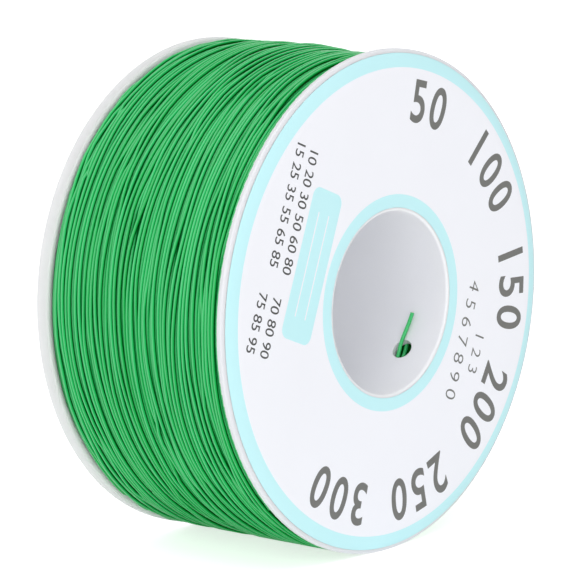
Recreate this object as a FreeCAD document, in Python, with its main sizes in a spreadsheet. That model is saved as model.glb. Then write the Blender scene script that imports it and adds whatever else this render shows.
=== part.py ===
import FreeCAD, Part
import math
import os

import Sketcher
from FreeCAD import Placement, Rotation, Vector

# A plastic spool of fine insulated wire. Millimetres, +Z up.
# The spool's axis lies along Y, its labelled side faces -Y, and the origin is on the axis,
# midway between the outer faces. The spool stands on the rims of its two flanges.

SIZES = [
    # alias, value, what it is
    ("flange_radius", 35.0, "outer radius of both flanges"),
    ("overall_width", 34.4, "from one outer face to the other"),
    ("flange_thickness", 1.65, "from a flange's outer face to its inner side"),
    ("brim_start", 31.5, "radius where the flat face begins to round off"),
    ("brim_radius", 7.4, "radius of the rounded brim, seen in section"),
    ("rim_round", 0.2, "small rounding on both corners of the rim"),
    ("bore_radius", 12.7, "radius of the through bore"),
    ("lip_round", 0.4, "rounding at both mouths of the bore"),
    ("spigot_radius", 13.2, "outer radius of the barrel's ends, inside the flanges"),
    ("barrel_radius", 13.7, "outer radius of the barrel under the wire"),
    ("anchor_hole_radius", 1.5, "hole that the wire's inner end comes through"),
    ("anchor_hole_place", 11.6, "from the middle of the barrel to the hole, towards the label"),
    ("anchor_hole_angle", 131.0, "the hole's place round the barrel, in degrees from the top"),
    ("label_inner_radius", 13.2, "radius of the label's central hole"),
    ("label_outer_radius", 34.4, "outer radius of the label"),
    ("label_thickness", 0.1, "thickness of the label, and depth of its recess"),
    ("wire_radius", 0.275, "outside of the insulation"),
    ("conductor_radius", 0.1275, "radius of the solid conductor"),
    ("inner_end_lean", 35.0, "slant of the wire in the anchor hole, in degrees"),
    ("winding_radius", 34.7, "outside of the outermost turns"),
    ("turn_gap", 0.01, "clearance between the outermost turns and what is under them"),
    ("turn_count", 55, "turns side by side in the outermost layer"),
    ("outer_end_angle", 222.5, "where the wire's outer end stops, in degrees from the top"),
    ("last_turn_sweep", 330.0, "how far the last turn reaches round the spool, in degrees"),
]

# Places worked out from the sizes, in the spreadsheet's own expression language.
HALF_WIDTH = "Sizes.overall_width / 2"
INNER_SIDE = "(Sizes.overall_width / 2 - Sizes.flange_thickness)"
TURN_RADIUS = "(Sizes.winding_radius - Sizes.wire_radius)"
CORE_RADIUS = "(Sizes.winding_radius - 2 * Sizes.wire_radius - Sizes.turn_gap)"
TURN_PITCH = f"(2 * {INNER_SIDE} / Sizes.turn_count)"

# Sides of the polygon that stands for the wire's round section in the outermost layer.
SECTION_SIDES = 8

# Turns an object's own Z axis to the spool's axis, Y. Its own X stays X.
ALONG_SPOOL = Rotation(Vector(1, 0, 0), -90)

document = FreeCAD.newDocument("wire_spool")
sheet = document.addObject("Spreadsheet::Sheet", "Sizes")


def fill_sheet():
    """Write the driving dimensions, one to a row: value in A, meaning in B."""
    for row, (alias, value, meaning) in enumerate(SIZES, start=1):
        sheet.set(f"A{row}", str(value))
        sheet.setAlias(f"A{row}", alias)
        sheet.set(f"B{row}", meaning)
    document.recompute()


def number(expression):
    """The value of an expression over the sheet."""
    return float(sheet.evalExpression(expression.replace("Sizes.", "")))


def drop_at(radius):
    """Expression for how far the rounded brim has fallen below the flat face at a radius."""
    run = f"({radius} - Sizes.brim_start)"
    return f"(Sizes.brim_radius - sqrt(Sizes.brim_radius * Sizes.brim_radius - {run} * {run}))"


def origin_part(body, role):
    """One of a body's own origin planes or axes, found by its role."""
    return next(part for part in body.Origin.OriginFeatures if part.Role == role)


def section_sketch(body, name, corners, arcs):
    """A closed half-section in the XY plane: X is the radius and Y runs along the axis.

    corners are pairs of expressions. arcs gives the radius of each curved side, by the index
    of the corner it starts from, with the side's centre as numbers to start the solver from.
    """
    sketch = body.newObject("Sketcher::SketchObject", name)
    sketch.AttachmentSupport = [(origin_part(body, "XY_Plane"), "")]
    sketch.MapMode = "FlatFace"
    points = [Vector(number(x), number(y), 0) for x, y in corners]
    count = len(points)
    starts = []
    ends = []
    for index, start in enumerate(points):
        end = points[(index + 1) % count]
        if index not in arcs:
            sketch.addGeometry(Part.LineSegment(start, end))
            starts.append(1)
            ends.append(2)
            continue
        radius_expression, centre = arcs[index]
        circle = Part.Circle(centre, Vector(0, 0, 1), number(radius_expression))
        first = math.atan2(start.y - centre.y, start.x - centre.x)
        last = math.atan2(end.y - centre.y, end.x - centre.x)
        runs_back = first > last
        sketch.addGeometry(Part.ArcOfCircle(circle, min(first, last), max(first, last)))
        starts.append(2 if runs_back else 1)
        ends.append(1 if runs_back else 2)
        key = sketch.addConstraint(Sketcher.Constraint("Radius", index, number(radius_expression)))
        sketch.setExpression(f"Constraints[{key}]", radius_expression)
    for index, (x, y) in enumerate(corners):
        following = (index + 1) % count
        sketch.addConstraint(
            Sketcher.Constraint("Coincident", index, ends[index], following, starts[following])
        )
        for kind, expression in (("DistanceX", x), ("DistanceY", y)):
            constraint = Sketcher.Constraint(kind, -1, 1, index, starts[index], number(expression))
            key = sketch.addConstraint(constraint)
            sketch.setExpression(f"Constraints[{key}]", expression)
    return sketch


def turned_body(label, corners, arcs=None):
    """A body turned about the spool's axis from one half-section."""
    body = document.addObject("PartDesign::Body", label)
    sketch = section_sketch(body, f"{label}_section", corners, arcs or {})
    turned = body.newObject("PartDesign::Revolution", f"{label}_turned")
    turned.Profile = sketch
    turned.ReferenceAxis = (sketch, ["V_Axis"])
    turned.Angle = 360
    document.recompute()
    return body


def round_edges(body, radius_expression, wanted):
    """Fillet every circular edge whose radius and place along Y are in the wanted pairs."""
    base = body.Tip
    names = []
    for index, edge in enumerate(base.Shape.Edges, start=1):
        if not isinstance(edge.Curve, Part.Circle):
            continue
        place = (edge.Curve.Radius, edge.Curve.Center.y)
        if any(math.dist(place, pair) < 0.01 for pair in wanted):
            names.append(f"Edge{index}")
    assert len(names) == len(wanted), f"{body.Label}: {len(names)} edges of {len(wanted)}"
    fillet = body.newObject("PartDesign::Fillet", f"{body.Label}_rounding")
    fillet.Base = (base, names)
    fillet.setExpression("Radius", radius_expression)
    document.recompute()


# ---- barrel -----------------------------------------------------------------------------------

def make_barrel():
    """The tube the wire is wound on, with a spigot at each end for a flange and an anchor hole."""
    corners = [
        ("Sizes.bore_radius", f"-{HALF_WIDTH}"),
        ("Sizes.spigot_radius", f"-{HALF_WIDTH}"),
        ("Sizes.spigot_radius", f"-{INNER_SIDE}"),
        ("Sizes.barrel_radius", f"-{INNER_SIDE}"),
        ("Sizes.barrel_radius", INNER_SIDE),
        ("Sizes.spigot_radius", INNER_SIDE),
        ("Sizes.spigot_radius", HALF_WIDTH),
        ("Sizes.bore_radius", HALF_WIDTH),
    ]
    body = turned_body("barrel", corners)
    bore = number("Sizes.bore_radius")
    mouth = number(HALF_WIDTH)
    round_edges(body, "Sizes.lip_round", [(bore, -mouth), (bore, mouth)])

    # The hole runs along the body's own +Z, and the body is then turned about the axis.
    sketch = body.newObject("Sketcher::SketchObject", "anchor_hole_circle")
    sketch.AttachmentSupport = [(origin_part(body, "XY_Plane"), "")]
    sketch.MapMode = "FlatFace"
    centre = Vector(0, -number("Sizes.anchor_hole_place"), 0)
    radius = number("Sizes.anchor_hole_radius")
    sketch.addGeometry(Part.Circle(centre, Vector(0, 0, 1), radius))
    sketch.addConstraint(Sketcher.Constraint("PointOnObject", 0, 3, -2))
    place = sketch.addConstraint(Sketcher.Constraint("DistanceY", -1, 1, 0, 3, centre.y))
    sketch.setExpression(f"Constraints[{place}]", "-Sizes.anchor_hole_place")
    size = sketch.addConstraint(Sketcher.Constraint("Radius", 0, radius))
    sketch.setExpression(f"Constraints[{size}]", "Sizes.anchor_hole_radius")
    before = body.Shape.Volume
    hole = body.newObject("PartDesign::Pocket", "anchor_hole")
    hole.Profile = sketch
    hole.Reversed = True
    hole.setExpression("Length", "Sizes.barrel_radius + 1")
    document.recompute()
    cut = before - body.Shape.Volume
    wall = number("Sizes.barrel_radius - Sizes.bore_radius")
    expected = math.pi * radius**2 * wall
    assert abs(cut - expected) < 0.1 * expected, f"anchor hole cuts {cut:.2f}, not {expected:.2f}"
    body.Placement = about_axis("Sizes.anchor_hole_angle")
    body.setExpression("Placement.Rotation.Angle", "Sizes.anchor_hole_angle * 1 deg")
    return body


def about_axis(angle_expression):
    """A turn about the spool's axis: 0 degrees leaves the top up, 90 brings it to +X."""
    return Placement(Vector(), Rotation(Vector(0, 1, 0), number(angle_expression)))


# ---- flanges and label ------------------------------------------------------------------------

def brim_arc(inset="0"):
    """Radius and centre of the rounded brim, or of a curve inset below it."""
    centre = Vector(number("Sizes.brim_start"), number(f"{HALF_WIDTH} - Sizes.brim_radius"), 0)
    return (f"Sizes.brim_radius - {inset}", centre)


def make_flange(label):
    """A disc whose flat outer face rounds off to the rim, bored for the barrel's spigot."""
    rim_height = f"{HALF_WIDTH} - {drop_at('Sizes.flange_radius')}"
    corners = [
        ("Sizes.spigot_radius", INNER_SIDE),
        ("Sizes.flange_radius", INNER_SIDE),
        ("Sizes.flange_radius", rim_height),
        ("Sizes.brim_start", HALF_WIDTH),
        ("Sizes.spigot_radius", HALF_WIDTH),
    ]
    body = turned_body(label, corners, {2: brim_arc()})
    rim = number("Sizes.flange_radius")
    round_edges(body, "Sizes.rim_round", [(rim, number(INNER_SIDE)), (rim, number(rim_height))])
    return body


def label_section():
    """Half-section of the label, which follows the flat face and then the rounded brim."""
    reach = "(Sizes.label_outer_radius - Sizes.brim_start)"
    under_radius = "(Sizes.brim_radius - Sizes.label_thickness)"
    under_drop = f"({under_radius} - sqrt({under_radius} * {under_radius} - {reach} * {reach}))"
    underside = f"{HALF_WIDTH} - Sizes.label_thickness"
    corners = [
        ("Sizes.label_inner_radius", underside),
        ("Sizes.brim_start", underside),
        ("Sizes.label_outer_radius", f"{underside} - {under_drop}"),
        ("Sizes.label_outer_radius", f"{HALF_WIDTH} - {drop_at('Sizes.label_outer_radius')}"),
        ("Sizes.brim_start", HALF_WIDTH),
        ("Sizes.label_inner_radius", HALF_WIDTH),
    ]
    return corners, {1: brim_arc("Sizes.label_thickness"), 3: brim_arc()}


def make_front_flange():
    """The flange on the labelled side, with a shallow recess for the label."""
    body = make_flange("front_flange")
    corners, arcs = label_section()
    sketch = section_sketch(body, "label_recess_section", corners, arcs)
    before = body.Shape.Volume
    recess = body.newObject("PartDesign::Groove", "label_recess")
    recess.Profile = sketch
    recess.ReferenceAxis = (sketch, ["V_Axis"])
    recess.Angle = 360
    document.recompute()
    assert body.Shape.Volume < before, "the label's recess cuts nothing"
    body.Placement = Placement(Vector(), Rotation(Vector(0, 0, 1), 180))
    return body


def make_label():
    """The printed paper disc that lies in the front flange's recess."""
    corners, arcs = label_section()
    body = turned_body("front_label", corners, arcs)
    body.Placement = Placement(Vector(), Rotation(Vector(0, 0, 1), 180))
    return body


# ---- wire -------------------------------------------------------------------------------------

def make_inner_windings():
    """All the layers under the outermost one, as one closed ring between the flanges."""
    corners = [
        ("Sizes.barrel_radius", f"-{INNER_SIDE}"),
        (CORE_RADIUS, f"-{INNER_SIDE}"),
        (CORE_RADIUS, INNER_SIDE),
        ("Sizes.barrel_radius", INNER_SIDE),
    ]
    return turned_body("inner_windings", corners)


def make_turn(label, place_expression, radius="Sizes.wire_radius"):
    """One turn round the spool, at its place along the axis."""
    turn = document.addObject("Part::Torus", label)
    turn.setExpression("Radius1", TURN_RADIUS)
    turn.setExpression("Radius2", radius)
    turn.Placement = Placement(Vector(), ALONG_SPOOL)
    turn.setExpression("Placement.Base.y", place_expression)
    return turn


def turn_place(index):
    """Expression for the place of a turn along the axis, counted from the labelled side."""
    return f"({index} + 0.5) * {TURN_PITCH} - {INNER_SIDE}"


def make_outer_windings():
    """The outermost layer, turn beside turn, all but the last one.

    A turn's section is a polygon drawn inside the wire's round outline.
    """
    body = document.addObject("PartDesign::Body", "outer_windings")
    body.AllowCompound = True
    sides = SECTION_SIDES
    corners = []
    for index in range(sides):
        angle = f"{360 * (index + 0.5) / sides} deg"
        corners.append((
            f"{TURN_RADIUS} + Sizes.wire_radius * cos({angle})",
            f"{turn_place(1)} + Sizes.wire_radius * sin({angle})",
        ))
    sketch = section_sketch(body, "turn_section", corners, {})
    turn = body.newObject("PartDesign::Revolution", "turn")
    turn.Profile = sketch
    turn.ReferenceAxis = (sketch, ["V_Axis"])
    turn.Angle = 360
    document.recompute()
    layer = body.newObject("PartDesign::LinearPattern", "layer")
    layer.Originals = [turn]
    layer.Direction = (sketch, ["V_Axis"])
    layer.setExpression("Length", f"(Sizes.turn_count - 2) * {TURN_PITCH}")
    layer.setExpression("Occurrences", "Sizes.turn_count - 1")
    body.Tip = layer
    document.recompute()
    return body


def make_last_turn(label, radius):
    """The last turn next to the labelled flange, which stops short where the wire is cut."""
    turn = make_turn(label, turn_place(0), radius)
    turn.setExpression("Angle3", "Sizes.last_turn_sweep")
    # A turn's own start lies at 90 degrees from the top.
    start = Rotation(Vector(0, 0, 1), number("Sizes.outer_end_angle") - 90)
    turn.Placement = Placement(Vector(), ALONG_SPOOL.multiply(start))
    turn.setExpression("Placement.Base.y", turn_place(0))
    return turn


def make_outer_end():
    """The last turn's insulation, a fine tube, and the conductor inside it."""
    conductor = make_last_turn("outer_end_conductor", "Sizes.conductor_radius")
    insulation = document.addObject("Part::Cut", "outer_end_insulation")
    insulation.Base = make_last_turn("outer_end_outside", "Sizes.wire_radius")
    insulation.Tool = make_last_turn("outer_end_hollow", "Sizes.conductor_radius")
    return insulation, conductor


def make_wall(name):
    """The barrel's wall as a plain ring, which trims the wire in the anchor hole."""
    ring = document.addObject("Part::Cut", f"{name}_wall")
    tubes = []
    for side, radius in (("outside", "Sizes.barrel_radius"), ("inside", "Sizes.bore_radius")):
        tube = document.addObject("Part::Cylinder", f"{name}_wall_{side}")
        tube.setExpression("Radius", radius)
        tube.setExpression("Height", "Sizes.overall_width")
        tube.Placement = Placement(Vector(), ALONG_SPOOL)
        tube.setExpression("Placement.Base.y", f"-{HALF_WIDTH}")
        tubes.append(tube)
    ring.Base, ring.Tool = tubes
    return ring


def make_slanted_wire(name, radius):
    """A straight run of wire through the middle of the anchor hole, before it is turned."""
    lean = Rotation(Vector(0, 1, 0), -number("Sizes.inner_end_lean"))
    length = number("4 * Sizes.anchor_hole_radius")
    middle = Vector(
        0,
        -number("Sizes.anchor_hole_place"),
        number("(Sizes.barrel_radius + Sizes.bore_radius) / 2"),
    )
    wire = document.addObject("Part::Cylinder", name)
    wire.setExpression("Radius", radius)
    wire.setExpression("Height", "4 * Sizes.anchor_hole_radius")
    base = middle - lean.multVec(Vector(0, 0, length / 2))
    wire.Placement = Placement(base, lean)
    return wire


def make_inner_end():
    """The wire where it passes through the barrel's wall, as insulation and conductor."""
    conductor = document.addObject("Part::Common", "inner_end_conductor")
    conductor.Base = make_slanted_wire("inner_end_core", "Sizes.conductor_radius")
    conductor.Tool = make_wall("inner_end_conductor")
    tube = document.addObject("Part::Cut", "inner_end_tube")
    tube.Base = make_slanted_wire("inner_end_outside", "Sizes.wire_radius")
    tube.Tool = make_slanted_wire("inner_end_hollow", "Sizes.conductor_radius")
    insulation = document.addObject("Part::Common", "inner_end_insulation")
    insulation.Base = tube
    insulation.Tool = make_wall("inner_end_insulation")
    for piece in (conductor, insulation):
        piece.Placement = about_axis("Sizes.anchor_hole_angle")
        piece.setExpression("Placement.Rotation.Angle", "Sizes.anchor_hole_angle * 1 deg")
    return insulation, conductor


# ---- build, check and write -------------------------------------------------------------------

def check(pieces):
    """Stop before anything is written if an object failed or a piece has no sound shape."""
    for item in document.Objects:
        failed = {"Invalid", "Error"} & set(item.State)
        assert not failed, f"{item.Label}: {item.State}"
    for piece in pieces:
        assert not piece.Shape.isNull(), f"{piece.Label} is empty"
        assert piece.Shape.isValid(), f"{piece.Label} is not valid"
        assert piece.Shape.Solids, f"{piece.Label} holds no solid"


def write(pieces):
    """One STEP file for each piece, named after it."""
    os.makedirs("parts", exist_ok=True)
    for piece in pieces:
        piece.Shape.exportStep(f"parts/{piece.Label}.step")
        box = piece.Shape.optimalBoundingBox(False)
        print(
            f"{piece.Label:22} {len(piece.Shape.Solids):3d} solid(s) {piece.Shape.Volume:10.2f} mm3"
            f"  X {box.XMin:7.2f} {box.XMax:6.2f}  Y {box.YMin:7.2f} {box.YMax:6.2f}"
            f"  Z {box.ZMin:7.2f} {box.ZMax:6.2f}"
        )


fill_sheet()
parts = [
    make_barrel(),
    make_front_flange(),
    make_flange("rear_flange"),
    make_label(),
    make_inner_windings(),
    make_outer_windings(),
    *make_inner_end(),
    *make_outer_end(),
]
document.recompute()
check(parts)
write(parts)
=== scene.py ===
# %% [markdown]
# # A spool of thin hook-up wire
#
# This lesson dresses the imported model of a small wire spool. The real thing is a white moulded
# reel, 70 mm across and 34 mm wide, full of green wire 0.55 mm thick, with a printed paper label
# on one side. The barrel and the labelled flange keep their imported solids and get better
# finishes. The rear disc, the wire, the label and its print are modelled here, because that is
# where the eye goes.

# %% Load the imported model
import math
import bpy
import bmesh
import numpy as np
from mathutils import Matrix, Vector


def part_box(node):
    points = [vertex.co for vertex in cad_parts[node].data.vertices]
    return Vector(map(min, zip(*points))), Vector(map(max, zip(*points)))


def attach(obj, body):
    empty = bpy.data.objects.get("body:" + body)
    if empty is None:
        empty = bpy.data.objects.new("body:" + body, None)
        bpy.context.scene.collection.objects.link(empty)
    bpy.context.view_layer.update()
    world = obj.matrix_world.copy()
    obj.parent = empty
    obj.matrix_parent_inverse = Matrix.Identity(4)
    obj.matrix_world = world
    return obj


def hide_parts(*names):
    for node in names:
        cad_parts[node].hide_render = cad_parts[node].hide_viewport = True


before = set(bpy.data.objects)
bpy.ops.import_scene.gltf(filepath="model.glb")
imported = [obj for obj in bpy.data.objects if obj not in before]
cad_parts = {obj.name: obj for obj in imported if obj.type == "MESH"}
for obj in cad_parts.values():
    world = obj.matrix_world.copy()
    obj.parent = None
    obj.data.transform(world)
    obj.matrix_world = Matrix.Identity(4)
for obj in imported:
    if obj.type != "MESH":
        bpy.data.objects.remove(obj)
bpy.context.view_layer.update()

MM = 0.001
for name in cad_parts:
    low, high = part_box(name)
    print(f"{name:24s}", [round(v / MM, 2) for v in (*low, *high)])

# %% [markdown]
# ## The sizes that everything else hangs on
#
# The reel's own solids say how wide it is and how far its rims reach, so no size is typed twice.
# The spindle's axis is Y. Angles are counted round it from the top of the spool, clockwise as
# seen from the labelled side. The wire's thickness is the size that everything was scaled by.
# The winding is worked out in millimetres, from half the space between the flanges.

# %% Read the main sizes off the solids
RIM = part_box("rear_flange")[1][0]
REAR_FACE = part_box("rear_flange")[1][1]
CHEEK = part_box("inner_windings")[1][1]
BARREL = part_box("barrel")[1][0]
LABEL_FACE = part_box("front_label")[0][1]
LABEL_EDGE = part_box("front_label")[1][0]
LABEL_HOLE = BARREL - 0.5 * MM
WIRE = 0.275 * MM
CORE = 0.1275 * MM
HALF_SPACE = round(CHEEK / MM, 2)
for name, size in {"rim": RIM, "rear face": REAR_FACE, "cheek": CHEEK, "barrel": BARREL,
                   "label face": LABEL_FACE, "label edge": LABEL_EDGE}.items():
    print(f"{name:12s} {size / MM:7.2f} mm")

# %% [markdown]
# ## Shader maths as plain expressions
#
# A node material is easier to read as a formula than as a list of links. `Signal` wraps one
# output of a node, and adding or multiplying two of them adds a Math node. `Nodes` adds every
# other kind of node through one method, in a material or in the world.

# %% Signal and Nodes
class Signal:
    """One output of a node. Arithmetic on it adds Math nodes to the same tree."""

    def __init__(self, nodes, socket):
        self.nodes, self.socket = nodes, socket

    def maths(self, operation, *values):
        return self.nodes.node("ShaderNodeMath", {"operation": operation}, dict(enumerate(values)))

    def __add__(self, other): return self.maths("ADD", self, other)
    def __radd__(self, other): return self.maths("ADD", other, self)
    def __sub__(self, other): return self.maths("SUBTRACT", self, other)
    def __rsub__(self, other): return self.maths("SUBTRACT", other, self)
    def __mul__(self, other): return self.maths("MULTIPLY", self, other)
    def __rmul__(self, other): return self.maths("MULTIPLY", other, self)
    def __gt__(self, other): return self.maths("GREATER_THAN", self, other)
    def __lt__(self, other): return self.maths("LESS_THAN", self, other)
    def __pow__(self, other): return self.maths("POWER", self, other)
    def __abs__(self): return self.maths("ABSOLUTE", self)

    def above(self, floor):
        return self.maths("MAXIMUM", self, floor)


class Nodes:
    """A node tree, with one way to add any node to it."""

    def __init__(self, tree):
        self.tree = tree

    def put(self, socket, value):
        if isinstance(value, Signal):
            self.tree.links.new(value.socket, socket)
        else:
            socket.default_value = value

    def node(self, kind, settings=None, sockets=None, out=0):
        made = self.tree.nodes.new(kind)
        for key, value in (settings or {}).items():
            setattr(made, key, value)
        for key, value in (sockets or {}).items():
            self.put(made.inputs[key], value)
        return Signal(self, made.outputs[out])


def colour(red, green, blue):
    """A screen colour, 0 to 255, as the linear colour that shaders use."""
    linear = [(v / 12.92 if v <= 0.04045 else ((v + 0.055) / 1.055) ** 2.4)
              for v in (red / 255, green / 255, blue / 255)]
    return (*linear, 1.0)


print("mid grey is", [round(v, 3) for v in colour(128, 128, 128)])

# %% [markdown]
# ## What every finish on this spool shares
#
# `Finish` is a material with one Principled shader. What is the same all over the surface goes
# straight onto the shader's own sockets. What varies, such as cloudy moulding or fine grain,
# comes from noise on Object coordinates, so it stays put when the spool turns.

# %% Finish, a material with one shader
class Finish(Nodes):
    """A material with one Principled shader, and the nodes that feed it."""

    def __init__(self, name, **uniform):
        self.material = bpy.data.materials.new(name)
        self.material.use_nodes = True
        super().__init__(self.material.node_tree)
        self.shader = self.tree.nodes["Principled BSDF"]
        for socket, value in uniform.items():
            self.feed(socket, value)

    def feed(self, socket, value):
        self.put(self.shader.inputs[socket.replace("_", " ")], value)

    def place(self):
        return self.node("ShaderNodeTexCoord", out="Object")

    def axes(self):
        """The place on the piece as three numbers, in metres."""
        split = self.node("ShaderNodeSeparateXYZ", {}, {"Vector": self.place()}).socket.node
        return [Signal(self, socket) for socket in split.outputs]

    def noise(self, scale, detail=2.0):
        return self.node("ShaderNodeTexNoise", {"noise_dimensions": "3D"},
                         {"Vector": self.place(), "Scale": scale, "Detail": detail}, out="Fac")

    def mix(self, factor, first, second):
        return self.node("ShaderNodeMix", {"data_type": "RGBA"},
                         {"Factor": factor, 6: first, 7: second}, out=2)

    def ramp(self, value, low, high):
        """Goes smoothly from 0 to 1 while the value goes from low to high."""
        return self.node("ShaderNodeMapRange", {"interpolation_type": "SMOOTHSTEP"},
                         {"Value": value, "From Min": low, "From Max": high})

    def bump(self, height, strength, distance):
        self.feed("Normal", self.node("ShaderNodeBump", {}, {"Height": height, "Strength": strength,
                                                             "Distance": distance}, out="Normal"))


def dress(piece, finish, slot, *nodes):
    """Gives a piece its material and body, and hides the solids it stands for. The slot is not used."""
    piece.data.materials.clear()
    piece.data.materials.append(finish.material)
    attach(piece, "root")
    if nodes:
        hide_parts(*nodes)
    print(f"{piece.name:24s} {len(piece.data.polygons):6d} faces, {finish.material.name}")


# %% [markdown]
# ## White moulded plastic
#
# The reel is cheap white polystyrene: a cool white that is very slightly cloudy, with a satin
# skin that mirrors only broad lights. Two noises do it. A slow one moves the white by a few
# steps, and a fast one moves the roughness.
#
# Light also sinks into such plastic and comes out beside where it went in, which the shader
# calls subsurface. It is kept shallow on the barrel and the labelled flange, which would go dull
# in the bore and beside the paper otherwise, and deep in the rear disc, whose free rim takes in
# light from all round and looks evenly pale. The labelled flange is a shade less white than the
# rest, or its rim, which faces the big lamp, would burn out.

# %% Finish the reel
def make_plastic(name, depth, white=242):
    plastic = Finish(name, IOR=1.5, Specular_IOR_Level=0.35, Subsurface_Weight=1.0,
                     Subsurface_Radius=(1.0, 1.0, 1.0), Subsurface_Scale=depth)
    dull, clear = colour(white - 7, white - 6, white - 2), colour(white, white + 1, white + 5)
    plastic.feed("Base Color", plastic.mix(plastic.noise(60.0, 3.0), dull, clear))
    plastic.feed("Roughness", 0.3 + 0.15 * plastic.noise(400.0, 4.0))
    plastic.bump(plastic.noise(1200.0), 0.08, 0.03 * MM)
    return plastic


BARREL_PLASTIC = make_plastic("barrel_polystyrene", 0.5 * MM)
FLANGE_PLASTIC = make_plastic("flange_polystyrene", 0.5 * MM, white=229)
DISC_PLASTIC = make_plastic("disc_polystyrene", 4.0 * MM)
for name, plastic in {"barrel": BARREL_PLASTIC, "front_flange": FLANGE_PLASTIC}.items():
    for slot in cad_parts[name].material_slots:
        slot.material = plastic.material
    print(name, "is now", plastic.material.name)

# %% [markdown]
# ## Helpers for modelling by hand
#
# The next pieces are made as in Blender's own window: add a primitive, go into edit mode, select
# a part by where it lies, and extrude or spin it. Everything is deselected first, because an
# operator acts on all that is selected. A flat round piece could be spun from its section too,
# but `turned` extrudes a circle from ring to ring, which keeps the rings easy to read as a list.

# %% Begin, pick, done
def begin(kind, **settings):
    """Adds one primitive with nothing else selected, and goes into edit mode."""
    bpy.ops.object.select_all(action="DESELECT")
    getattr(bpy.ops.mesh, kind)(**settings)
    bpy.ops.object.mode_set(mode="EDIT")
    return bpy.context.object


def pick(piece, mode, test):
    """Selects the vertices, edges or faces whose middle passes the test."""
    bpy.ops.mesh.select_mode(type=mode)
    bpy.ops.mesh.select_all(action="DESELECT")
    mesh = bmesh.from_edit_mesh(piece.data)
    parts = {"VERT": mesh.verts, "EDGE": mesh.edges, "FACE": mesh.faces}[mode]
    for part in parts:
        corners = [part] if mode == "VERT" else part.verts
        part.select_set(test(sum((corner.co for corner in corners), Vector()) / len(corners)))
    mesh.select_flush_mode()
    bmesh.update_edit_mesh(piece.data)


def done(piece, name):
    """Leaves edit mode, names the piece and sets its place into its mesh."""
    if bpy.context.object.mode == "EDIT":
        bpy.ops.object.mode_set(mode="OBJECT")
    bpy.ops.object.select_all(action="DESELECT")
    piece.select_set(True)
    bpy.context.view_layer.objects.active = piece
    bpy.ops.object.transform_apply(location=True, rotation=True, scale=True)
    piece.name = piece.data.name = name
    return piece


def modify(piece, kind, **settings):
    """Adds a modifier and applies it."""
    bpy.context.view_layer.objects.active = piece
    modifier = piece.modifiers.new(kind.lower(), kind)
    for key, value in settings.items():
        setattr(modifier, key, value)
    bpy.ops.object.modifier_apply(modifier=modifier.name)


def face_outwards(piece):
    """Merges doubles and turns every face outwards."""
    bpy.context.view_layer.objects.active = piece
    bpy.ops.object.mode_set(mode="EDIT")
    bpy.ops.mesh.select_all(action="SELECT")
    bpy.ops.mesh.remove_doubles(threshold=0.001 * MM)
    bpy.ops.mesh.normals_make_consistent(inside=False)
    bpy.ops.object.mode_set(mode="OBJECT")


def turned(name, rings, sides=256):
    """A circle extruded from ring to ring. Each ring is a radius and a y."""
    radius, y = rings[0]
    piece = begin("primitive_circle_add", vertices=sides, radius=radius, fill_type="NOTHING",
                  location=(0, y, 0), rotation=(math.pi / 2, 0, 0))
    bpy.ops.mesh.select_all(action="SELECT")
    for next_radius, next_y in rings[1:]:
        bpy.ops.mesh.extrude_edges_move()
        grow = next_radius / radius
        bpy.ops.transform.resize(value=(grow, grow, grow), center_override=(0, y, 0))
        bpy.ops.transform.translate(value=(0, next_y - y, 0))
        radius, y = next_radius, next_y
    return done(piece, name)


# %% [markdown]
# ## The rear disc
#
# The flange without a label is a flat moulded disc. A bead stiffens its rim on the inner side, the
# rim is rounded a little, and its face carries the four faint round marks of the pins that pushed
# it out of the mould. Its section is extruded ring by ring from the bore, out along the inside,
# round the rim and back. The marks are cut with a boolean, the quickest way to a sharp round edge
# on a flat face.

# %% Model the rear disc
BEAD_SIDE = CHEEK - 0.75 * MM
BEAD_DEPTH = 1.0 * MM
PIN_RADIUS, PIN_PLACE, PIN_DEPTH = 2.1 * MM, 24 * MM, 0.18 * MM


def make_rear_disc():
    rim_round, bead_round = 0.8 * MM, 0.2 * MM
    turns = [math.radians(v) for v in (0, 22.5, 45, 67.5, 90)]
    rim = [(RIM - rim_round * (1 - math.cos(v)), REAR_FACE - rim_round * (1 - math.sin(v))) for v in turns]
    bead = [(RIM - BEAD_DEPTH, CHEEK), (RIM - BEAD_DEPTH + 0.05 * MM, BEAD_SIDE + bead_round),
            (RIM - BEAD_DEPTH + bead_round, BEAD_SIDE), (RIM - bead_round, BEAD_SIDE),
            (RIM, BEAD_SIDE + bead_round)]
    piece = turned("rear_disc", [(LABEL_HOLE, REAR_FACE), (LABEL_HOLE, CHEEK), *bead, *rim,
                                 (LABEL_HOLE + 0.5 * MM, REAR_FACE), (LABEL_HOLE, REAR_FACE)])
    face_outwards(piece)
    for place in range(4):
        turn = math.radians(45 + 90 * place)
        place_x, place_z = PIN_PLACE * math.sin(turn), PIN_PLACE * math.cos(turn)
        pin = begin("primitive_cylinder_add", vertices=48, radius=PIN_RADIUS, depth=1 * MM,
                    location=(place_x, REAR_FACE + 0.5 * MM - PIN_DEPTH, place_z),
                    rotation=(math.pi / 2, 0, 0))
        done(pin, "pin_mark")
        modify(piece, "BOOLEAN", object=pin, operation="DIFFERENCE", solver="EXACT")
        bpy.data.objects.remove(pin)
    bpy.ops.object.select_all(action="DESELECT")
    piece.select_set(True)
    bpy.ops.object.shade_smooth_by_angle(angle=math.radians(30))
    return piece


REAR_DISC = make_rear_disc()
dress(REAR_DISC, DISC_PLASTIC, "spool_plastic", "rear_flange")

# %% [markdown]
# ## The paper label
#
# The label is one thin ring of paper that follows the flange: flat from the bore to 31.5 mm, then
# bent back over the rounded brim. It could be cut from a disc and pressed down with a shrinkwrap.
# Here it is extruded ring by ring too, each ring at the height of the brim, which gives clean rows
# of faces. Solidify then gives the sheet its thickness.

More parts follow.
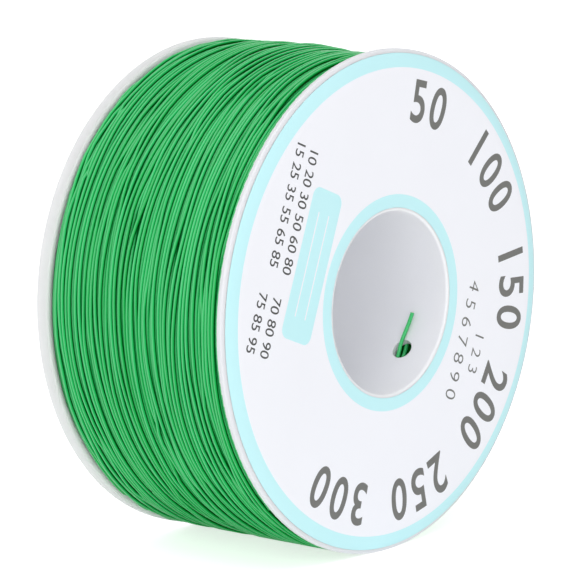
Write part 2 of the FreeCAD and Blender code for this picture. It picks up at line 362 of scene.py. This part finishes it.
# %% Model the label
BRIM_START, BRIM_RADIUS = 31.5 * MM, 7.4 * MM
INK = 0.008 * MM


def brim_drop(radius):
    """How far the face has curved back at this radius."""
    past = max(0.0, radius - BRIM_START)
    return BRIM_RADIUS - math.sqrt(BRIM_RADIUS ** 2 - past ** 2)


def make_label():
    radii = [LABEL_HOLE, *(v * MM for v in (15, 24, 31.5, 32.2, 32.9, 33.5, 34.0)), LABEL_EDGE + 0.04 * MM]
    piece = turned("paper_label", [(radius, LABEL_FACE + INK + brim_drop(radius)) for radius in radii])
    modify(piece, "SOLIDIFY", thickness=0.07 * MM, offset=1)
    face_outwards(piece)
    bpy.ops.object.shade_smooth_by_angle(angle=math.radians(35))
    return piece


LABEL = make_label()

# %% [markdown]
# ## Print on the paper: two rings and a panel
#
# A pale cyan ring runs round the bore and another round the brim, and a panel of the same ink
# lies beside the bore. Both are sharp-edged flat ink, so they are worked out in the material from
# the place on the paper: a ring is a range of radius, and the panel is a rectangle with rounded
# corners, turned to the angle at which the label was stuck on. Two thin lines are left white in
# the panel.

# %% Finish the label
LABEL_TURN = math.radians(110.5)
OUTER_RING, INNER_RING = 32.45 * MM, 15.03 * MM
PANEL_RIGHT, PANEL_UP = -0.55 * MM, -18.7 * MM


def label_axes(x, z):
    """Turns the spool's x and z into the label's own right and up."""
    cos, sin = math.cos(LABEL_TURN), math.sin(LABEL_TURN)
    return x * cos - z * sin, x * sin + z * cos


def make_paper():
    paper = Finish("label_paper", IOR=1.45)
    x, _, z = paper.axes()
    radius = (x * x + z * z) ** 0.5
    rings = (radius > OUTER_RING) + (radius < INNER_RING)
    right, up = label_axes(x, z)
    aside, aloft = abs(right - PANEL_RIGHT), abs(up - PANEL_UP)
    half_length, half_height, corner = 10.4 * MM, 3.15 * MM, 1.3 * MM
    along = (aside - (half_length - corner)).above(0.0)
    across = (aloft - (half_height - corner)).above(0.0)
    panel = (along * along + across * across) ** 0.5 < corner
    lines = (abs(aloft - 1.1 * MM) < 0.11 * MM) * (aside < 7.2 * MM)
    cloud = paper.noise(90.0, 3.0)
    white = paper.mix(cloud, colour(240, 241, 247), colour(243, 244, 250))
    cyan = paper.mix(cloud, colour(192, 239, 244), colour(198, 242, 247))
    paper.feed("Base Color", paper.mix(rings + panel - panel * lines, white, cyan))
    paper.feed("Roughness", 0.42 + 0.12 * paper.noise(700.0, 3.0))
    paper.bump(paper.noise(1800.0, 4.0), 0.1, 0.02 * MM)
    return paper


PAPER = make_paper()
dress(LABEL, PAPER, "label_paper", "front_label")

# %% [markdown]
# ## Numbers round the label
#
# A bold row of lettering runs round more than half of the label. This spool carries plain
# numbers there, like those of a dial. Text could stay a text object, but a finished piece has to
# be a mesh, so each figure is set once at a large size, made a mesh, and then brought to its own
# place, turned so that its top points outwards. A thin extrusion stands for the layer of ink.

# %% Set type on the label
def set_type(words, height, right, up, turn=0.0, weight=0.0, width=1.0):
    """One line of figures, centred on a place in the label's own axes, as a flat mesh."""
    bpy.ops.object.select_all(action="DESELECT")
    bpy.ops.object.text_add()
    line = bpy.context.object
    line.data.body = words
    line.data.align_x, line.data.align_y = "CENTER", "CENTER"
    line.data.offset = weight
    line.data.extrude = 0.45 * INK / (height / 0.72)
    line.data.resolution_u = 12
    bpy.ops.object.convert(target="MESH")
    line = bpy.context.object
    corners = np.array([vertex.co for vertex in line.data.vertices])
    middle = (corners.max(0) + corners.min(0)) / 2
    grow = height / (corners[:, 1].max() - corners[:, 1].min())
    place = (Matrix.Rotation(LABEL_TURN, 4, "Y") @ Matrix.Translation((right, LABEL_FACE + 0.5 * INK, up))
             @ Matrix.Rotation(turn, 4, "Y") @ Matrix.Rotation(math.pi / 2, 4, "X")
             @ Matrix.Diagonal((grow * width, grow, grow, 1)) @ Matrix.Translation(-Vector(middle)))
    line.data.transform(place)
    return line


def join(pieces, name):
    """Makes one piece of several."""
    bpy.ops.object.select_all(action="DESELECT")
    for piece in pieces:
        piece.select_set(True)
    bpy.context.view_layer.objects.active = pieces[0]
    bpy.ops.object.join()
    return done(pieces[0], name)


def make_arc_numbers(radius, height, step):
    """Plain numbers fanned out round the label, figure by figure."""
    figures = []
    for place, number in enumerate(("50", "100", "150", "200", "250", "300")):
        middle = math.radians(-93.75 + 37.5 * place)
        for index, figure in enumerate(number):
            turn = middle + math.radians(step) * (index - (len(number) - 1) / 2)
            figures.append(set_type(figure, height, radius * math.sin(turn), radius * math.cos(turn),
                                    turn, weight=0.016, width=0.88))
    return join(figures, "arc_numbers")


ARC_NUMBERS = make_arc_numbers(28.0 * MM, 6.0 * MM, 9.4)
reach = [max(abs(vertex.co[axis]) for vertex in ARC_NUMBERS.data.vertices) for axis in range(3)]
print("arc numbers reach", [round(v / MM, 3) for v in reach], "mm")

# %% [markdown]
# ## Small rows of numbers
#
# Under the panel there are two rows of small print, and opposite them two more. They hold plain
# numbers too. Each row is one line of type, so it is set in one go.

# %% Set the small rows
def make_small_rows():
    rows = [("10 20 30 50 60 80", -6.6, -23.6), ("15 25 35 55 65 85", -6.9, -26.5),
            ("70 80 90", 9.3, -24.2), ("75 85 95", 9.3, -27.2)]
    lines = [set_type(words, 1.8 * MM, right * MM, up * MM, weight=0.004, width=0.93)
             for words, right, up in rows]
    return join(lines, "small_numbers")


def make_side_rows():
    rows = [set_type("1 2 3", 2.1 * MM, 2.3 * MM, 21.7 * MM, weight=-0.01),
            set_type("4 5 6 7 8 9 0", 2.3 * MM, 1.1 * MM, 17.9 * MM, weight=-0.01)]
    return join(rows, "side_numbers")


SMALL_NUMBERS = make_small_rows()
SIDE_NUMBERS = make_side_rows()


def make_ink(name, dark, light):
    """Matt printing ink that is slightly uneven."""
    ink = Finish(name, IOR=1.45)
    ink.feed("Base Color", ink.mix(ink.noise(500.0, 3.0), dark, light))
    ink.feed("Roughness", 0.5 + 0.15 * ink.noise(900.0))
    return ink


GREY_INK = make_ink("grey_ink", colour(104, 105, 102), colour(116, 116, 113))
DARK_INK = make_ink("dark_ink", colour(62, 63, 62), colour(78, 78, 77))
dress(ARC_NUMBERS, GREY_INK, "label_paper")
dress(SMALL_NUMBERS, DARK_INK, "label_paper")
dress(SIDE_NUMBERS, GREY_INK, "label_paper")

# %% [markdown]
# ## Winding the wire
#
# The outside of the spool is 0.55 mm wire laid by a machine that never lays it quite straight: the
# strands lie in bundles that drift together, cross at very small angles and sink into the layer
# below. Straight rings look like a screw thread, and a texture would be flat. So the last three
# layers are really wound, as one line of points that goes to and fro across the spool.
#
# Each point starts on a straight guide, plus a drift that all the layers share, one that only its
# own layer has, and a small one of its own. Then the strands are relaxed: they are pulled inwards
# and smoothed along the wire, and any two that overlap push each other apart, until they rest on
# each other.
#
# What they lie on is packed wire too, so it swells and sinks a little from place to place. It is
# lower at the top of the labelled side, where the real winding falls away, and at the rear disc,
# where the wire has to pass under the bead.

# %% Smooth random lines and fields
STEPS = 120
LAYER_TURNS = (54, 46, 37)
END_ANGLE = math.radians(222.5)
FLOOR, CEILING = 33.43, 34.97


def smooth_noise(random, count, scale):
    """A smooth random line: a curve through random values that lie `scale` samples apart."""
    knots = random.normal(size=int(count / scale) + 5)
    x = np.arange(count) / scale + 1
    j = x.astype(int)
    f = x - j
    return 0.5 * (2 * knots[j] + (knots[j + 1] - knots[j - 1]) * f
                  + (2 * knots[j - 1] - 5 * knots[j] + 4 * knots[j + 1] - knots[j + 2]) * f ** 2
                  + (3 * knots[j] - knots[j - 1] - 3 * knots[j + 1] + knots[j + 2]) * f ** 3)


def smooth_field(random, waves=26, around=7, across=7, fall=4.0):
    """A field that varies round the spool and across it, and is nothing at the two flanges."""
    waves = [(random.integers(0, around + 1), random.integers(1, across + 1),
              random.uniform(0, 2 * math.pi), random.normal() / math.sqrt(waves)) for _ in range(waves)]

    def field(angle, y):
        return sum(size / math.sqrt(1 + (m / 4) ** 2 + (n / fall) ** 2) * np.cos(m * angle + turn)
                   * np.sin(math.pi * n * (y + HALF_SPACE) / (2 * HALF_SPACE))
                   for m, n, turn, size in waves)
    return field


SWELL = smooth_field(np.random.default_rng(3), waves=12, around=5, across=12)
SWELLING = 0.25


def under_bead(y):
    """How far the wire has to stay below the rim, in mm, so that it passes under the bead."""
    clearance, slope = 0.05, 0.45
    near = np.clip((y - BEAD_SIDE / MM + slope) / slope, 0, 1)
    return (BEAD_DEPTH / MM + clearance) * near * near * (3 - 2 * near)


def floor_radius(angle, y):
    """The radius, in mm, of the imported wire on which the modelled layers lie."""
    top_dip, bottom_rise = 0.75, 0.15
    dip = top_dip * np.clip(np.cos(angle), 0, 1) ** 4 * np.clip((0.5 - y) / 6.5, 0, 1)
    rise = bottom_rise * np.clip(-np.cos(angle), 0, 1)
    return FLOOR + rise - dip - under_bead(y) + SWELLING * SWELL(angle, y)


print("floor under the layers", floor_radius(np.zeros(3), np.array([-15.0, 0.0, 15.0])).round(2), "mm")

# %% [markdown]
# ## Letting the strands settle
#
# At every angle the strands are sorted by their place across the spool, so each one is compared
# only with the few that lie beside it. Overlapping neighbours push each other apart along the line
# between them. Few rounds are enough: too many would press the strands into neat flat rows.
#
# The wire was cut at the lower edge of the labelled side. Just past that place the strands keep
# their distance from the flange, or they would fill the gap in which the cut end is seen.

# %% Wind the last three layers
SHARED, STRAY, OWN, LOOSE = 2.2, 0.75, 0.15, 0.25
LAYER_LIFT, END_GAP = 0.47, 0.55
ROUNDS, PULL = 24, 0.008


def push_apart(y, r, wire):
    """Moves strands that overlap at the same angle away from each other."""
    order = np.argsort(y, axis=0, kind="stable")
    ys, rs = np.take_along_axis(y, order, 0), np.take_along_axis(r, order, 0)
    move_y, move_r, hits = np.zeros_like(ys), np.zeros_like(rs), np.zeros_like(ys)
    for apart in range(1, 10):
        dy, dr = ys[apart:] - ys[:-apart], rs[apart:] - rs[:-apart]
        gap = np.hypot(dy, dr) + 1e-6
        push = np.clip(2 * wire - gap, 0, None) / 2
        for move, way in ((move_y, dy / gap), (move_r, dr / gap)):
            move[apart:] += push * way
            move[:-apart] -= push * way
        hits[apart:] += push > 0
        hits[:-apart] += push > 0
    share = 1 / np.sqrt(np.maximum(hits, 1))
    np.put_along_axis(y, order, ys + move_y * share, 0)
    np.put_along_axis(r, order, rs + move_r * share, 0)


def wind(random, half, wire, reach=5):
    """The wire's angle, place across the spool and radius, point by point, in mm."""
    counts = np.array(LAYER_TURNS) * STEPS
    n = counts.sum()
    t = np.arange(n)
    angle = END_ANGLE + 2 * math.pi * (n - 1 - t) / STEPS
    limit = half - wire
    starts = np.cumsum([0, *counts])
    layer = np.searchsorted(starts, t, side="right") - 1
    part = (t - starts[layer]) / counts[layer]
    way = np.where((len(counts) - layer) % 2 == 1, -1, 1)
    guide = limit * way * (2 * part - 1)
    common = smooth_field(random)(angle, guide)
    stray = np.choose(layer, [smooth_field(random, 20, 4, 20, 12.0)(angle, guide) for _ in counts])
    own = smooth_noise(random, n, STEPS * 0.11) * np.clip((half - np.abs(guide)) / 2, 0, 1)
    y = np.clip(guide + SHARED * common + STRAY * stray + OWN * own, -limit, limit).reshape(-1, STEPS)
    a, lift = angle.reshape(-1, STEPS), layer.reshape(-1, STEPS)
    past_end = (END_ANGLE - a) % (2 * math.pi)
    lowest = END_GAP * (lift > 0) * np.clip(1.3 - past_end / 0.5, 0, 1) - limit
    loose = LOOSE * (lift > 0) * smooth_noise(random, n, STEPS * 0.15).reshape(-1, STEPS)
    r = floor_radius(a, y) + wire + LAYER_LIFT * lift + loose
    sag = 34.0 * (2 * math.pi / STEPS) ** 2 / 2
    for step in range(ROUNDS):
        r -= PULL
        flat_y, flat_r = y.reshape(-1), r.reshape(-1)
        if step % 4 == 0:
            mean = (flat_y[:-2 * reach] + flat_y[2 * reach:] + flat_y[reach:-reach]) / 3
            flat_y[reach:-reach] += 0.25 * (mean - flat_y[reach:-reach])
        flat_y[1:-1] += 0.3 * ((flat_y[:-2] + flat_y[2:]) / 2 - flat_y[1:-1])
        flat_r[1:-1] += 0.25 * ((flat_r[:-2] + flat_r[2:]) / 2 - sag - flat_r[1:-1])
        for _ in range(2):
            push_apart(y, r, wire)
            np.clip(y, lowest, limit, out=y)
            np.maximum(r, floor_radius(a, y) + wire, out=r)
            np.minimum(r, CEILING - wire - under_bead(y), out=r)
    return angle, y.reshape(-1), r.reshape(-1)


ANGLE, ACROSS, OUT = wind(np.random.default_rng(8), CHEEK / MM, WIRE / MM)
TONE = 0.5 + 0.25 * smooth_noise(np.random.default_rng(11), len(ANGLE), STEPS * 0.6)
print("wire laid:", len(ANGLE) // STEPS, "turns, radius", OUT.min().round(2), "to", OUT.max().round(2))

# %% [markdown]
# ## From a line of points to a round wire
#
# A curve with a bevel would make a tube too, but it has no say over each point's own data. Here
# the tube is built ring by ring from the line, with three things written on it for the material:
# how far each side of the wire faces away from the spool, a slow change of tone along the wire,
# and a UV map that unrolls it turn by turn. The first and last rings are drawn in a little,
# which rounds the cut ends.

# %% Build a wire
def strand(name, angle, across, out, radius, tone=None, sides=8, lone=False):
    """A closed round wire along points given by angle, y and radius, the last two in mm."""
    path = np.stack([out * np.sin(angle), across, out * np.cos(angle)], 1) * MM
    along = np.gradient(path, axis=0)
    along /= np.linalg.norm(along, axis=1, keepdims=True)
    path = np.concatenate([path[:1], path, path[-1:]])
    along = np.concatenate([along[:1], along, along[-1:]])
    path[0] -= along[0] * 0.2 * radius
    path[-1] += along[-1] * 0.2 * radius
    size = np.full(len(path), radius)
    size[[0, -1]] *= 0.8
    radial = path * (1, 0, 1)
    radial /= np.linalg.norm(radial, axis=1, keepdims=True)
    normal = radial - along * (radial * along).sum(1, keepdims=True)
    normal /= np.linalg.norm(normal, axis=1, keepdims=True)
    side = np.cross(along, normal)
    ring = 2 * math.pi * np.arange(sides) / sides
    points = (path[:, None] + size[:, None, None] * (normal[:, None] * np.cos(ring)[:, None]
                                                     + side[:, None] * np.sin(ring)[:, None]))
    rows = len(path)
    j = np.arange(sides)
    one = np.arange(rows - 1)[:, None] * sides
    quads = np.stack([one + j, one + (j + 1) % sides, one + sides + (j + 1) % sides, one + sides + j], 2)
    caps = [list(range(sides))[::-1], [(rows - 1) * sides + k for k in range(sides)]]
    mesh = bpy.data.meshes.new(name)
    mesh.from_pydata(points.reshape(-1, 3).tolist(), [], quads.reshape(-1, 4).tolist() + caps)
    unroll(mesh, rows, sides)
    mesh.polygons.foreach_set("use_smooth", [True] * (len(mesh.polygons) - 2) + [False] * 2)
    # The crest says how far each side faces away from the spool. From it the material paints shade down
    # the flanks and a highlight on the crest. A lone wire gets one value all round: no painted flank
    # shade, and a little of the painted highlight all over.
    crest = np.full(sides, 0.85) if lone else np.cos(ring)
    tone = np.full(len(angle), 0.6) if tone is None else tone
    tone = np.concatenate([tone[:1], tone, tone[-1:]])
    for key, values in {"crest": np.tile(crest, rows), "tone": np.repeat(tone, sides)}.items():
        mesh.attributes.new(key, "FLOAT", "POINT").data.foreach_set("value", values.astype(np.float32))
    mesh.update()
    piece = bpy.data.objects.new(name, mesh)
    bpy.context.scene.collection.objects.link(piece)
    return piece


def unroll(mesh, rows, sides):
    """Lays the wire's skin out turn by turn: u along a turn, v round the wire and turn by turn."""
    sample = np.repeat(np.arange(rows - 1), sides)
    place = np.tile(np.arange(sides), rows - 1)
    lanes = math.ceil(rows / STEPS)
    u0, v0 = (sample % STEPS) / STEPS, (sample // STEPS + place / sides) / lanes
    u1, v1 = u0 + 1 / STEPS, v0 + 1 / sides / lanes
    corners = np.stack([u0, v0, u0, v1, u1, v1, u1, v0], 1).reshape(-1, 2)
    layer = mesh.uv_layers.new(name="OFBake")
    ends = np.zeros((2 * sides, 2))
    layer.uv.foreach_set("vector", np.concatenate([corners, ends]).astype(np.float32).ravel())


LAST_TURN = int(STEPS * 330 / 360)
TOTAL = len(ANGLE)
CUTS = [0, *np.cumsum(LAYER_TURNS)[:-1] * STEPS, TOTAL - LAST_TURN]


def wound(name, first, last):
    """The wound wire between two of its points."""
    return strand(name, ANGLE[first:last], ACROSS[first:last], OUT[first:last], WIRE, TONE[first:last])


LAYERS = [wound(f"winding_layer_{k + 1}", CUTS[k], CUTS[k + 1] + 1) for k in range(len(LAYER_TURNS))]
CUT_END = wound("cut_end_insulation", CUTS[-1], TOTAL)
CUT_END_CORE = strand("cut_end_conductor", np.append(ANGLE[-8:], ANGLE[-1] - 0.003),
                      np.append(ACROSS[-8:], ACROSS[-1]), np.append(OUT[-8:], OUT[-1]), CORE)

# %% [markdown]
# ## The wire under the last layers
#
# Under the three wound layers lie some 1,850 turns that nobody sees, except as green ribs in
# the gaps between strands and through the anchor hole. One ribbed ring stands for them. A single
# rib is half a circle, an Array modifier sets ribs side by side, the same row is mirrored to the
# inside, and the closed outline is spun once round the spindle.

# %% Model the ribbed ring
def make_winding_core():
    ribs = 55
    pitch = 2 * CHEEK / ribs
    outer, inner = 33.4 * MM, BARREL + 0.85 * MM
    piece = begin("primitive_circle_add", vertices=8, radius=pitch / 2, fill_type="NOTHING",
                  location=(0, 0, 0))
    pick(piece, "VERT", lambda at: at.x < -0.01 * MM)
    bpy.ops.mesh.delete(type="VERT")
    bpy.ops.mesh.select_all(action="SELECT")
    bpy.ops.transform.translate(value=(outer - pitch / 2, -CHEEK + pitch / 2, 0))
    bpy.ops.object.mode_set(mode="OBJECT")
    modify(piece, "ARRAY", count=ribs, use_relative_offset=False, use_constant_offset=True,
           constant_offset_displace=(0, pitch, 0), use_merge_vertices=True, merge_threshold=0.001 * MM)
    bpy.ops.object.mode_set(mode="EDIT")
    bpy.ops.mesh.select_all(action="SELECT")
    bpy.ops.mesh.duplicate_move()
    bpy.ops.transform.resize(value=(-1, 1, 1), center_override=((outer + inner) / 2, 0, 0))
    for end in (-1, 1):
        pick(piece, "VERT", lambda at: at.y * end > CHEEK - 0.001 * MM)
        bpy.ops.mesh.edge_face_add()
    bpy.ops.mesh.select_all(action="SELECT")
    bpy.ops.mesh.spin(steps=96, angle=2 * math.pi, center=(0, 0, 0), axis=(0, 1, 0))
    done(piece, "winding_core")
    face_outwards(piece)
    bpy.ops.object.shade_smooth()
    return piece


def seat(piece):
    """Lowers the ring's outside to the floor on which the wound layers lie."""
    for vertex in piece.data.vertices:
        radius = math.hypot(vertex.co.x, vertex.co.z)
        if radius > 25 * MM:
            angle = math.atan2(vertex.co.x, vertex.co.z)
            grow = 1 - (FLOOR - floor_radius(angle, vertex.co.y / MM)) * MM / radius
            vertex.co.x, vertex.co.z = vertex.co.x * grow, vertex.co.z * grow


WINDING_CORE = make_winding_core()
seat(WINDING_CORE)
print("winding core", len(WINDING_CORE.data.polygons), "faces")

# %% [markdown]
# ## The wire's inner end
#
# The wire starts inside the spool. Its end was pushed through a hole in the barrel before the
# winding began, and it stands 7 mm up along the wall of the bore. Two short wires make it: the
# free end, which comes from under the barrel, and the first turn, which is seen beside it in the
# hole. Both follow a few listed places, joined by a smooth curve.

# %% Model the inner end
def through(places, count):
    """Smooth points through a few places, each an angle in degrees, a y and a radius in mm."""
    places = np.array(places, dtype=float)
    at = np.linspace(0, len(places) - 1, count)
    smooth = np.stack([np.interp(at, np.arange(len(places)), column) for column in places.T], 1)
    for _ in range(count // 2):
        smooth[1:-1] += 0.5 * ((smooth[:-2] + smooth[2:]) / 2 - smooth[1:-1])
    return np.radians(smooth[:, 0]), smooth[:, 1], smooth[:, 2]


FREE_END = [(143, -10.75, 14.02), (139, -10.85, 13.85), (135.5, -10.98, 13.4), (131, -11.15, 12.72),
            (126.8, -11.1, 12.45), (121, -11.2, 12.33), (114.3, -11.5, 12.2), (106.2, -11.9, 12.0)]
FIRST_TURN = [(165, -12.2, 14.0), (140, -11.6, 14.0), (133.3, -11.34, 14.0), (128.7, -11.15, 13.98),
              (124.5, -10.95, 14.0), (112, -10.5, 14.0), (100, -10.2, 14.0)]
angle, across, out = through(FREE_END, 48)
INNER_END = strand("inner_end_wire", angle, across, out, WIRE, sides=16, lone=True)
step = angle[-1] - angle[-2]
INNER_END_CORE = strand("inner_end_core", np.append(angle[-6:], angle[-1] + 0.5 * step),
                        np.append(across[-6:], across[-1] - 0.01), np.append(out[-6:], out[-1]),
                        CORE, sides=12)
angle, across, out = through(FIRST_TURN, 40)
FIRST_TURN_WIRE = strand("first_turn", angle, across, out, WIRE, sides=12, lone=True)

# %% [markdown]
# ## Green insulation and plated copper
#
# The insulation is coloured right through and has the soft gloss of an extruded skin. Wound wire
# looks dark between its strands, more than the shadows alone can show on so fine a scale, because
# light that goes into the gap comes back green from green. So shade is painted into the colour: it
# goes darker and deeper down the flank of each strand. A painted highlight, a paler green, lies on
# the crest of each strand. The gloss could be the shader's own, but then the white room turns the
# gaps grey. It is a coat instead, which lies only on the crest of each strand. The conductor is
# bright plated copper.

# %% Finish the wire
def make_insulation():
    wire = Finish("green_insulation", IOR=1.5, Specular_IOR_Level=0.05, Coat_Roughness=0.3, Coat_IOR=1.5)
    crest = wire.node("ShaderNodeAttribute", {"attribute_name": "crest"}, out="Fac")
    tone = wire.node("ShaderNodeAttribute", {"attribute_name": "tone"}, out="Fac")
    skin = wire.mix(tone, colour(4, 170, 74), colour(30, 188, 100))
    # Painted highlight: a paler green on the crest of each strand, standing in for light falling on it.
    painted_highlight = wire.mix(tone, colour(70, 196, 116), colour(100, 212, 140))
    # Painted shade: the colour darkens down each strand's flank towards the gaps, where shade falls.
    side = wire.mix(wire.ramp(crest, -0.1, 0.62), colour(0, 96, 14), skin)
    wire.feed("Base Color", wire.mix(wire.ramp(crest, 0.78, 1.0), side, painted_highlight))
    wire.feed("Roughness", 0.5 + 0.12 * wire.noise(900.0, 3.0))
    wire.feed("Coat Weight", wire.ramp(crest, 0.5, 0.95))
    wire.bump(wire.noise(2500.0), 0.1, 0.02 * MM)
    return wire


def make_conductor():
    metal = Finish("plated_copper", Metallic=1.0)
    metal.feed("Base Color", metal.mix(metal.noise(3000.0), colour(196, 190, 182), colour(222, 220, 216)))
    metal.feed("Roughness", 0.25 + 0.15 * metal.noise(5000.0))
    return metal


INSULATION, CONDUCTOR = make_insulation(), make_conductor()
dress(WINDING_CORE, INSULATION, "wire_insulation", "inner_windings")
for layer in LAYERS[:-1]:
    dress(layer, INSULATION, "wire_insulation")
dress(LAYERS[-1], INSULATION, "wire_insulation", "outer_windings")
dress(CUT_END, INSULATION, "wire_insulation", "outer_end_insulation")
dress(CUT_END_CORE, CONDUCTOR, "wire_conductor", "outer_end_conductor")
dress(INNER_END, INSULATION, "wire_insulation", "inner_end_insulation")
dress(INNER_END_CORE, CONDUCTOR, "wire_conductor", "inner_end_conductor")
dress(FIRST_TURN_WIRE, INSULATION, "wire_insulation")

# %% [markdown]
# ## A white studio
#
# The spool stands on a white floor in a white room. The room is white only for the camera and
# for what is mirrored: the light that it sheds is weaker, or the white plastic would burn out.
# The floor sheds a little light of its own, as the base of a light tent does, and glows some more
# for the camera alone, so that it looks as white as the room and still keeps the spool's shadow.

# %% World and floor
def make_room(light):
    world = bpy.data.worlds.new("studio")
    bpy.context.scene.world = world
    world.use_nodes = True
    world.node_tree.nodes.clear()
    room = Nodes(world.node_tree)
    path = room.node("ShaderNodeLightPath").socket.node
    seen = [Signal(room, path.outputs[f"Is {kind} Ray"]) for kind in ("Camera", "Glossy", "Transmission")]
    strength = light + (1.0 - light) * seen[0].above(seen[1]).above(seen[2])
    glow = room.node("ShaderNodeBackground", {}, {"Color": (1, 1, 1, 1), "Strength": strength})
    output = room.tree.nodes.new("ShaderNodeOutputWorld")
    room.put(output.inputs["Surface"], glow)


def make_floor(shed, glow):
    bpy.ops.object.select_all(action="DESELECT")
    bpy.ops.mesh.primitive_plane_add(size=6, location=(0, 0, -RIM))
    floor = bpy.context.object
    floor.name = "floor"
    paint = Finish("white_floor", Base_Color=(0.94, 0.94, 0.94, 1), Roughness=0.9)
    strength = shed + glow * paint.node("ShaderNodeLightPath", out="Is Camera Ray")
    light = paint.node("ShaderNodeEmission", {}, {"Color": (1, 1, 1, 1), "Strength": strength})
    paint.put(paint.tree.nodes["Material Output"].inputs["Surface"],
              paint.node("ShaderNodeAddShader", {}, {0: Signal(paint, paint.shader.outputs[0]), 1: light}))
    floor.data.materials.append(paint.material)


make_room(0.58)
make_floor(0.2, 0.48)

# %% [markdown]
# ## Lamps
#
# A big soft lamp stands in front, on the wire's side of the camera, and a second one hangs over
# the spool. More lamps could fill in the shadows, but the white room already does that.

# %% Place the lamps
def lamp(name, place, size, power):
    data = bpy.data.lights.new(name, "AREA")
    data.shape = "DISK"
    data.size = size
    data.energy = power
    item = bpy.data.objects.new(name, data)
    item.location = place
    item.rotation_euler = (-Vector(place)).to_track_quat("-Z", "Y").to_euler()
    bpy.context.scene.collection.objects.link(item)


lamp("front_lamp", (-0.91, -0.76, 0.18), 1.2, 5.9)
lamp("top_lamp", (-0.4, -0.25, 1.1), 0.9, 3.75)

# %% [markdown]
# ## Camera
#
# A long lens from the front left, a little above the spool, turned so that both the wire and the
# label are in view.

# %% Place the camera
turn, rise, distance = math.radians(-50.25), math.radians(8.72), 458.36 * MM
aim_right, aim_up = -0.8 * MM, 0.12 * MM
back = Vector((math.sin(turn) * math.cos(rise), -math.cos(turn) * math.cos(rise), math.sin(rise)))
right = (-back).cross(Vector((0, 0, 1))).normalized()
up = right.cross(-back)
data = bpy.data.cameras.new("camera")
data.lens = 201.7
camera = bpy.data.objects.new("camera", data)
camera.location = back * distance + right * aim_right + up * aim_up
camera.rotation_euler = (-back).to_track_quat("-Z", "Y").to_euler()
bpy.context.scene.collection.objects.link(camera)
bpy.context.scene.camera = camera
bpy.context.scene.view_settings.view_transform = "Standard"
print("camera at", [round(v, 4) for v in camera.location])
